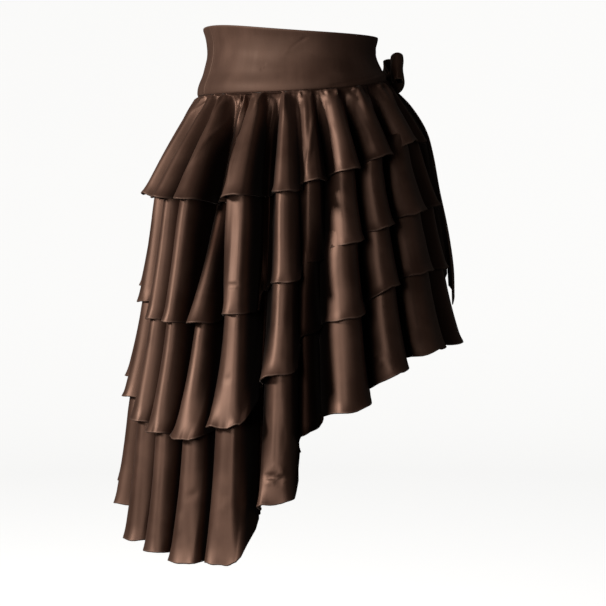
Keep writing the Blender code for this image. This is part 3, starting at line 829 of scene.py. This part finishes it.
def satin_finish(name, edge_width, stitch_at, duller=0.0, paint_hollow_shade=False):
    """Dark brown satin: fine threads down the cloth, soft mottling, a lighter edge with stitches that is a
    painted highlight, and on the tiers painted shade deep between the folds.
    """
    sizes = bpy.context.scene.skirt_finish
    finish = Finish(name)
    uv = finish.node("ShaderNodeUVMap", {"uv_map": "cloth"}).outputs[0]
    split = finish.node("ShaderNodeSeparateXYZ", {}, {0: uv})
    across, from_edge = finish.wire(split, 0), finish.wire(split, 1)
    place = finish.node("ShaderNodeTexCoord").outputs["Object"]

    cloudy = finish.noise(place, 15.0, 3.0, 0.55).between(0.30, 0.72)
    streaks = finish.noise(finish.stretched(uv, (170.0, 9.0, 1.0)), 1.0, 3.0, 0.6)
    threads = finish.noise(finish.stretched(uv, (1.0 / sizes.thread, 55.0, 1.0)), 1.0, 2.0, 0.5)
    slubs = finish.noise(finish.stretched(uv, (60.0, 900.0, 1.0)), 1.0, 2.0, 0.5)
    edge = 1.0 - from_edge.between(edge_width * 0.75, edge_width)
    stitch_row = (from_edge - stitch_at).math("ABSOLUTE").between(0.0007, 0.0002)
    stitch = (across * (math.tau / 0.0026)).math("SINE").between(-0.2, 0.5) * stitch_row

    tone = (cloudy * 0.65 + streaks * 0.35 + threads * 0.25 - 0.12).between(0.15, 0.95)
    body = finish.blend(tone, colour(sizes.satin_deep), colour(sizes.satin))
    # painted highlight: the edge band takes the lighter hem colour
    body = finish.blend(edge * 0.75, body, colour(sizes.hem))
    lustre = sizes.metallic - duller
    # painted shade: where the fold UV map says a point lies deep between folds, the satin is painted near
    # black and its highlights darken with it
    if paint_hollow_shade:
        folds = finish.node("ShaderNodeUVMap", {"uv_map": "fold"}).outputs[0]
        share = finish.wire(finish.node("ShaderNodeSeparateXYZ", {}, {0: folds}), 0)
        deep = share.between(0.12, 0.95) * 0.95
        body = finish.blend(deep, body, colour(sizes.hollow_painted_shade))
        lustre = deep * (1.0 - lustre) + lustre
    finish.join(body, finish.shader.inputs["Base Color"])
    rough = cloudy * 0.08 + streaks * 0.10 + threads * 0.06
    rough = rough + (sizes.roughness + duller - 0.12) + edge * 0.06
    finish.join(rough, finish.shader.inputs["Roughness"])

    normal = finish.bump(threads * 0.7 + slubs * 0.3, 0.00010, 0.55)
    normal = finish.bump(streaks, 0.0003, 0.20, normal)
    normal = finish.bump(stitch, 0.0004, 0.8, normal)
    finish.join(normal, finish.shader.inputs["Normal"])
    finish.join(lustre, finish.shader.inputs["Metallic"])
    finish.join((1.0, 0.76, 0.60, 1.0), finish.shader.inputs["Specular Tint"])
    finish.join(0.10, finish.shader.inputs["Sheen Weight"])
    finish.join(0.45, finish.shader.inputs["Sheen Roughness"])
    finish.join((0.85, 0.70, 0.62, 1.0), finish.shader.inputs["Sheen Tint"])
    return finish.material


def fit_piece(piece, node, material):
    """Gives a sheet its finish and body, in place of its plain solid."""
    piece.data.materials.append(material)
    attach(piece, "root")
    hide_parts(node)


# Operators

class SKIRT_OT_yoke(bpy.types.Operator):
    """Make the yoke's two shaped pieces, from the tie to the back seam"""

    bl_idname = "skirt.yoke"
    bl_label = "Yoke"

    def execute(self, context):
        cloth = context.scene.skirt_cloth
        half_seam = math.degrees(SEAM_GAP * 0.05 / YOKE_RADIUS[0])
        sides = (
            ("yoke_right", OPENING_DEG + YOKE_END_GAP_DEG, BACK_SEAM_DEG - half_seam),
            ("yoke_left", BACK_SEAM_DEG + half_seam, OPENING_DEG + 360.0 - YOKE_END_GAP_DEG),
        )
        material = satin_finish("yoke_satin", 0.0012, 0.0040, duller=0.16)
        even = np.linspace(0.0, 1.0, YOKE_GRID[0])
        downs = mix(even, smooth_step(even), 0.45)
        down = downs[:, None]
        for name, start, end in sides:
            line = np.linspace(start, end, YOKE_GRID[1])
            angle = np.broadcast_to(line, (len(downs), len(line)))
            z = mix(yoke_top(angle), yoke_bottom(angle), down)
            base = on_ring(angle, yoke_radius(np.broadcast_to(down, angle.shape), angle), z)
            normals = outward_normals(base)
            place = np.radians(angle) * YOKE_ARC_RADIUS
            height = add_creases(base, angle, downs, YOKE_CREASES, cloth.crease_strength)
            middle = np.sin(math.pi * down)
            height = height + YOKE_UNEVEN * wander(place + 0.4 * z, 5, 5, 0.035, 0.110) * middle
            height = height + YOKE_FINE_UNEVEN * wander(z * 1.4 - place * 0.3, 6, 5, 0.018, 0.060) * middle
            # pleats drawn to the tie, the seam's groove at the back, and turned edges
            near = 1.0 - smooth_step((from_opening(angle) - YOKE_END_GAP_DEG) / PLEAT_REACH_DEG)
            height = height + PLEAT_HEIGHT * near ** 1.5 * np.sin(down * math.tau * PLEAT_COUNT + 0.6)
            seam = np.radians(np.abs(angle - BACK_SEAM_DEG)) * YOKE_ARC_RADIUS
            height = height - SEAM_GROOVE * bell(seam, 0.0012) + SEAM_WELT * bell(seam - 0.0035, 0.0016)
            height = height - YOKE_BOTTOM_TURN * bell(z - yoke_bottom(angle), 0.0012)
            height = height - YOKE_TOP_TURN * bell(yoke_top(angle) - z, 0.0010)
            points = base + normals * height[..., None]
            v = np.minimum(yoke_top(angle) - z, 0.5)
            piece = add_sheet(name + "_cloth", points, place, v, cloth.yoke_wall)
            fit_piece(
                piece, name, material)
        return {"FINISHED"}


class SKIRT_OT_tiers(bpy.types.Operator):
    """Make the four gathered tiers, each sewn inside the one above"""

    bl_idname = "skirt.tiers"
    bl_label = "Tiers"

    # flat size and area of each tier's cut: the hem's length, and the depth at the back
    CUTS = {
        "tier_1": ((2.17, 0.170), 0.173),
        "tier_2": ((2.27, 0.200), 0.262),
        "tier_3": ((2.63, 0.205), 0.294),
        "tier_4": ((2.91, 0.220), 0.376),
    }
    TIER_STEPS = 24
    FIRST_TIER_STEPS = 34

    def execute(self, context):
        cloth = context.scene.skirt_cloth
        # the tiers' satin gets painted shade in its hollow parts
        material = satin_finish("tier_satin", 0.0022, 0.0034, paint_hollow_shade=True)
        columns = fold_columns(self.TIER_STEPS)
        downs = tier_downs(TIER_ROWS, HEM_ROWS, HEM_SHARE)
        points = first_tier(columns, downs, cloth)
        for index, tier in enumerate(TIERS):
            steps = self.TIER_STEPS
            if index:
                top = tuck_line(points, downs, cloth.wall)
                points = lower_tier(columns, downs, index, top, cloth)
                shown = points
            else:
                steps = self.FIRST_TIER_STEPS
                shown = first_tier(fold_columns(steps), downs, cloth)
            # the painted hollow shade is weaker at the first tier's seam, where its folds open out under the
            # yoke and light reaches them
            at_seam = 1.0 if index else SHADE_AT_SEAM
            shade = hollow_shade_share(shown, steps) * mix(at_seam, 1.0, smooth_step(downs / SHADE_DOWN))[:, None]
            self.add_tier(shown, shade, tier.name, cloth, material)
        return {"FINISHED"}

    def add_tier(self, points, shade, name, cloth, material):
        """One tier's cloth, with its rolled hem and, in its fold UV map, the share of painted hollow shade at
        each point.
        """
        u = lengths_along(points, axis=1)
        run = lengths_along(points, axis=0)
        v = run[-1][None, :] - run
        rolled = {len(points) - 1: 0.9, len(points) - 2: 1.0, len(points) - 3: 0.8}
        piece = add_sheet(
            name + "_cloth", points, np.broadcast_to(u[-1], v.shape), v, cloth.wall, rolled, cloth.hem_roll)
        corners = np.empty(len(piece.data.loops), dtype=np.int32)
        piece.data.loops.foreach_get("vertex_index", corners)
        share = shade.ravel()[corners]
        # the share of painted hollow shade at each point, kept in the fold UV map
        layer = piece.data.uv_layers.new(name="fold")
        layer.data.foreach_set("uv", np.stack([share, 0.0 * share], axis=-1).astype(np.float32).ravel())
        fit_piece(piece, name, material)


def knot_frame():
    """The knot's middle and its outward, sideways and upward directions."""
    middle = on_ring(KNOT_DEG, KNOT_RADIUS, KNOT_Z)
    outward = on_ring(KNOT_DEG, 1.0, 0.0)
    return middle, outward, on_ring(KNOT_DEG + 90.0, 1.0, 0.0), np.array((0.0, 0.0, 1.0))


class SKIRT_OT_knot(bpy.types.Operator):
    """Make the bow's knot, a ribbon wrapped over the ribbons it holds"""

    bl_idname = "skirt.knot"
    bl_label = "Knot"

    def execute(self, context):
        middle, outward, sideways, upward = knot_frame()
        along, around = KNOT_GRID
        turn = np.linspace(0.0, math.tau, around, endpoint=False)[None, :]
        lean = np.linspace(-1.0, 1.0, along)[:, None] * (math.pi / 2.0 - 0.02)
        side = np.sin(lean) * np.ones_like(turn)
        out = np.cos(lean) * np.cos(turn)
        up = np.cos(lean) * np.sin(turn)
        band = np.exp(-(side / KNOT_BAND) ** 4)
        pleats = KNOT_PLEAT * np.sin(side * KNOT_PLEAT_TURNS + 1.3 * np.sin(turn)) * band
        swell = 1.0 + KNOT_SWELL * band - 0.16 * bell(np.abs(side) - 0.62, 0.16) + pleats
        swell = np.minimum(swell, KNOT_MOST_SWELL)
        points = (
            middle + outward * (out * KNOT_HALF[0] * swell)[..., None]
            + sideways * (side * KNOT_HALF[1])[..., None]
            + upward * (up * KNOT_HALF[2] * swell)[..., None]
        )
        number = np.arange(along * around).reshape(along, around)
        following = np.roll(number, -1, axis=1)
        faces = np.stack([number[:-1], following[:-1], following[1:], number[1:]], axis=-1)
        faces = faces.reshape(-1, 4).tolist()
        faces += [number[0, ::-1].tolist(), number[-1].tolist()]
        places = np.stack([side * KNOT_HALF[1], turn * 0.0125 + 0.02 + 0.0 * side], axis=-1).reshape(-1, 2)
        corners = np.concatenate([np.array(face) for face in faces])
        piece = add_mesh("tie_knot_cloth", points, faces, places[corners])
        for other in context.selected_objects:
            other.select_set(False)
        context.view_layer.objects.active = piece
        piece.select_set(True)
        bpy.ops.object.mode_set(mode="EDIT")
        bpy.ops.mesh.select_all(action="SELECT")
        bpy.ops.mesh.normals_make_consistent(inside=False)
        bpy.ops.object.mode_set(mode="OBJECT")
        piece.select_set(False)
        piece.data.materials.append(satin_finish("knot_satin", 0.0001, 0.5))
        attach(piece, "root")
        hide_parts("tie_knot")
        return {"FINISHED"}


class SKIRT_OT_loops(bpy.types.Operator):
    """Make the bow's two loops, each a ribbon bent back on itself and pleated at the knot"""

    bl_idname = "skirt.loops"
    bl_label = "Loops"

    def execute(self, context):
        cloth = context.scene.skirt_cloth
        material = satin_finish("loop_satin", 0.0016, 0.0030)
        for number, loop in enumerate(LOOPS):
            middle, outward, sideways, upward = knot_frame()
            along = sideways * loop.side + upward * loop.rise + outward * loop.lean_out
            along /= np.linalg.norm(along)
            across = upward - along * (upward @ along)
            across /= np.linalg.norm(across)
            normal = np.cross(along, across) * loop.side
            root = middle + along * (KNOT_HALF[1] - loop.length / 2.0 * (1.0 + math.cos(LOOP_TURN)))
            half = RIBBON_WIDTH / 2.0 * loop.width
            turn = LOOP_TURN * np.linspace(-1.0, 1.0, LOOP_GRID[1])[None, :]
            share = np.linspace(1.0, -1.0, LOOP_GRID[0])[:, None]
            reach = loop.length / 2.0 * (1.0 + np.cos(turn)) + 0.0 * share
            open_by = loop.thickness / 2.0 * np.sin(turn) * (1.0 + 0.35 * np.cos(turn))
            flare = 0.42 + 0.58 * smooth_step(reach / loop.length * 1.3)
            rooted = 1.0 - smooth_step(reach / loop.length / 0.75)
            side_out = np.sign(turn) * np.minimum(np.abs(turn) / 0.5, 1.0)
            pleat = LOOP_PLEAT * rooted * (np.cos(share * math.pi * 2.6 + 0.5 * number) - 0.2)
            soft = LOOP_SOFT * (1.0 - rooted) * np.sin(share * 4.2 + turn * 1.3 + number)
            open_by = open_by + side_out * (pleat + soft) + 0.0 * share
            curl = LOOP_CURL * np.cos(turn) * (1.0 - share ** 2)
            grid = (
                root + along * (reach + curl)[..., None] + normal * open_by[..., None]
                + across * (share * half * flare)[..., None]
            )
            u = lengths_along(grid, axis=1)
            v = np.broadcast_to((1.0 - np.abs(share)) * half, u.shape)
            piece = add_sheet(loop.name + "_cloth", grid, v * np.sign(share) + half, v, cloth.ribbon_wall)
            self.fit(piece, loop, material)
        return {"FINISHED"}

    def fit(self, piece, loop, material):
        """Gives the loop its finish and body, in place of its plain solid."""
        fit_piece(
            piece, loop.name, material)


class SKIRT_OT_tails(bpy.types.Operator):
    """Make the bow's two tails, which hang from the knot over the front of the skirt"""

    bl_idname = "skirt.tails"
    bl_label = "Tails"

    def execute(self, context):
        cloth = context.scene.skirt_cloth
        material = satin_finish("tail_satin", 0.0016, 0.0030)
        down = np.linspace(0.0, 1.0, TAIL_GRID[0])[:, None]
        share = np.linspace(-1.0, 1.0, TAIL_GRID[1])[None, :]
        stops = np.linspace(0.0, 1.0, len(TAIL_Z))
        for number, tail in enumerate(TAILS):
            z = mix(TAIL_Z[0], smooth_line(down, stops, TAIL_Z), tail.length)
            radius = smooth_line(down, stops, TAIL_RADIUS)
            width = smooth_line(down, stops, TAIL_WIDTH)
            along = tail.side * smooth_line(down, stops, TAIL_SPREAD) + share * RIBBON_WIDTH / 2.0 * width
            angle = KNOT_DEG + np.degrees(along / radius)
            bowed = TAIL_BOW * width * np.cos(math.pi * share / 2.0)
            pleat = TAIL_PLEAT * (1.0 - smooth_step(down / 0.32)) * np.cos(share * 5.2 + number)
            soft = TAIL_SOFT * smooth_step(down / 0.2) * np.sin(share * 2.4 + down * 9.0 + 2.0 * number)
            slant = TAIL_END_SLANT * share * tail.side * down ** 2
            grid = on_ring(angle, radius + bowed + pleat + soft, z - slant)
            u = lengths_along(grid, axis=1)
            half = RIBBON_WIDTH / 2.0 * width
            run = lengths_along(grid, axis=0)
            v = np.minimum((1.0 - np.abs(share)) * half, run[-1][None, :] - run)
            piece = add_sheet(tail.name + "_cloth", grid, u, v, cloth.ribbon_wall)
            fit_piece(
                piece, tail.name, material)
        return {"FINISHED"}


class SKIRT_OT_stage(bpy.types.Operator):
    """Make the pale floor, the studio lights and the camera"""

    bl_idname = "skirt.stage"
    bl_label = "Stage"

    FLOOR_RADIUS = 4.5
    # each ring of the floor's curved rim: how much wider and how much higher than the last
    RIM = ((1.10, 0.12), (1.08, 0.35), (1.06, 0.60), (1.04, 0.90), (1.02, 1.20), (1.01, 2.40))

    def execute(self, context):
        stage = context.scene.skirt_stage
        self.add_floor(context, stage)
        self.add_lights(context, stage)
        self.add_camera(context, stage)
        return {"FINISHED"}

    def add_floor(self, context, stage):
        """A round pale floor whose rim curves up, so that no horizon shows."""
        bpy.ops.object.select_all(action="DESELECT")
        bpy.ops.mesh.primitive_circle_add(
            vertices=96, radius=self.FLOOR_RADIUS, fill_type="NGON", location=(0.0, 0.0, 0.0))
        floor = context.active_object
        floor.name = "studio_floor"
        bpy.ops.object.mode_set(mode="EDIT")
        bpy.ops.mesh.select_all(action="SELECT")
        bpy.ops.transform.translate(value=(0.0, 0.0, stage.floor_height))
        bpy.ops.mesh.select_mode(type="EDGE")
        for wider, higher in self.RIM:
            bpy.ops.mesh.extrude_edges_move(TRANSFORM_OT_translate={"value": (0.0, 0.0, higher)})
            bpy.ops.transform.resize(value=(wider, wider, 1.0), center_override=(0.0, 0.0, 0.0))
        bpy.ops.mesh.select_all(action="SELECT")
        bpy.ops.mesh.normals_make_consistent(inside=True)
        bpy.ops.object.mode_set(mode="OBJECT")
        bpy.ops.object.shade_smooth()
        finish = Finish("studio_paper")
        place = finish.node("ShaderNodeTexCoord").outputs["Object"]
        mottle = finish.noise(place, 3.0, 3.0, 0.5).between(0.2, 0.8)
        pale = colour(stage.floor_colour)
        shade = tuple(value * 0.985 for value in stage.floor_colour)
        finish.join(finish.blend(mottle, colour(shade), pale), finish.shader.inputs["Base Color"])
        finish.join(0.9, finish.shader.inputs["Roughness"])
        finish.join(0.1, finish.shader.inputs["Specular IOR Level"])
        finish.join(pale, finish.shader.inputs["Emission Color"])
        finish.join(stage.floor_glow, finish.shader.inputs["Emission Strength"])
        floor.data.materials.append(finish.material)
        floor.visible_diffuse = False
        floor.visible_glossy = False

    def directions(self, stage):
        """The camera's backward and rightward directions."""
        turn = stage.camera_turn
        back = Vector((-math.cos(turn), math.sin(turn), 0.0))
        right = Vector((-math.sin(turn), -math.cos(turn), 0.0))
        return back, right

    def add_lights(self, context, stage):
        """A soft key far to the camera's left, a weak fill nearer the camera, and even room light."""
        back, right = self.directions(stage)
        up = Vector((0.0, 0.0, 1.0))
        middle = Vector((0.0, 0.0, -0.30))
        lamps = (
            ("key_lamp", back * 0.85 - right * 2.6 + up * 0.98, 0.5, stage.key_power, (1.0, 0.97, 0.93)),
            ("fill_lamp", back * 2.3 - right * 1.2 + up * 0.35, 1.2, stage.fill_power, (1.0, 0.98, 0.96)),
        )
        for name, offset, size, power, tint in lamps:
            place = middle + offset
            aim = (middle - place).to_track_quat("-Z", "Y").to_euler()
            bpy.ops.object.light_add(type="AREA", location=place, rotation=aim)
            lamp = context.active_object
            lamp.name = name
            lamp.data.shape = "DISK"
            lamp.data.size = size
            lamp.data.energy = power
            lamp.data.color = tint
        world = context.scene.world or bpy.data.worlds.new("studio_room")
        context.scene.world = world
        world.use_nodes = True
        world.node_tree.nodes["Background"].inputs["Color"].default_value = (1.0, 0.99, 0.98, 1.0)
        world.node_tree.nodes["Background"].inputs["Strength"].default_value = stage.sky
        context.scene.view_settings.view_transform = "Standard"

    def add_camera(self, context, stage):
        """The camera at the photograph's angle."""
        back, right = self.directions(stage)
        place = back * stage.camera_distance + right * stage.camera_side
        place = place + Vector((0.0, 0.0, stage.camera_height))
        target = right * stage.camera_side + Vector((0.0, 0.0, stage.target_height))
        aim = (target - place).to_track_quat("-Z", "Y").to_euler()
        bpy.ops.object.camera_add(location=place, rotation=aim)
        camera = context.active_object
        camera.name = "photo_camera"
        camera.data.sensor_width = SENSOR_MM
        camera.data.lens = stage.lens
        camera.data.clip_end = 50.0
        context.scene.camera = camera


# Panel

class SKIRT_PT_parts(bpy.types.Panel):
    """The skirt's pieces and their sizes."""

    bl_label = "High-low skirt"
    bl_idname = "SKIRT_PT_parts"
    bl_space_type = "VIEW_3D"
    bl_region_type = "UI"
    bl_category = "Skirt"

    def draw(self, context):
        for operator in OPERATORS:
            self.layout.operator(operator.bl_idname)
        for group in (context.scene.skirt_cloth, context.scene.skirt_finish, context.scene.skirt_stage):
            box = self.layout.box()
            for name in group.bl_rna.properties.keys():
                if name not in ("rna_type", "name"):
                    box.prop(group, name)


OPERATORS = (SKIRT_OT_yoke, SKIRT_OT_tiers, SKIRT_OT_knot, SKIRT_OT_loops, SKIRT_OT_tails, SKIRT_OT_stage)
GROUPS = (("skirt_cloth", SkirtCloth), ("skirt_finish", SkirtFinish), ("skirt_stage", SkirtStage))


def register():
    """Adds the add-on's classes and its groups of sizes."""
    for name, group in GROUPS:
        bpy.utils.register_class(group)
        setattr(bpy.types.Scene, name, PointerProperty(type=group))
    for item in (*OPERATORS, SKIRT_PT_parts):
        bpy.utils.register_class(item)


def unregister():
    """Takes them away again."""
    for item in reversed((*OPERATORS, SKIRT_PT_parts)):
        bpy.utils.unregister_class(item)
    for name, group in reversed(GROUPS):
        delattr(bpy.types.Scene, name)
        bpy.utils.unregister_class(group)


def main():
    """Makes the whole scene."""
    register()
    bpy.ops.skirt.yoke()
    bpy.ops.skirt.tiers()
    bpy.ops.skirt.knot()
    bpy.ops.skirt.loops()
    bpy.ops.skirt.tails()
    bpy.ops.skirt.stage()


if __name__ == "__main__":
    main()
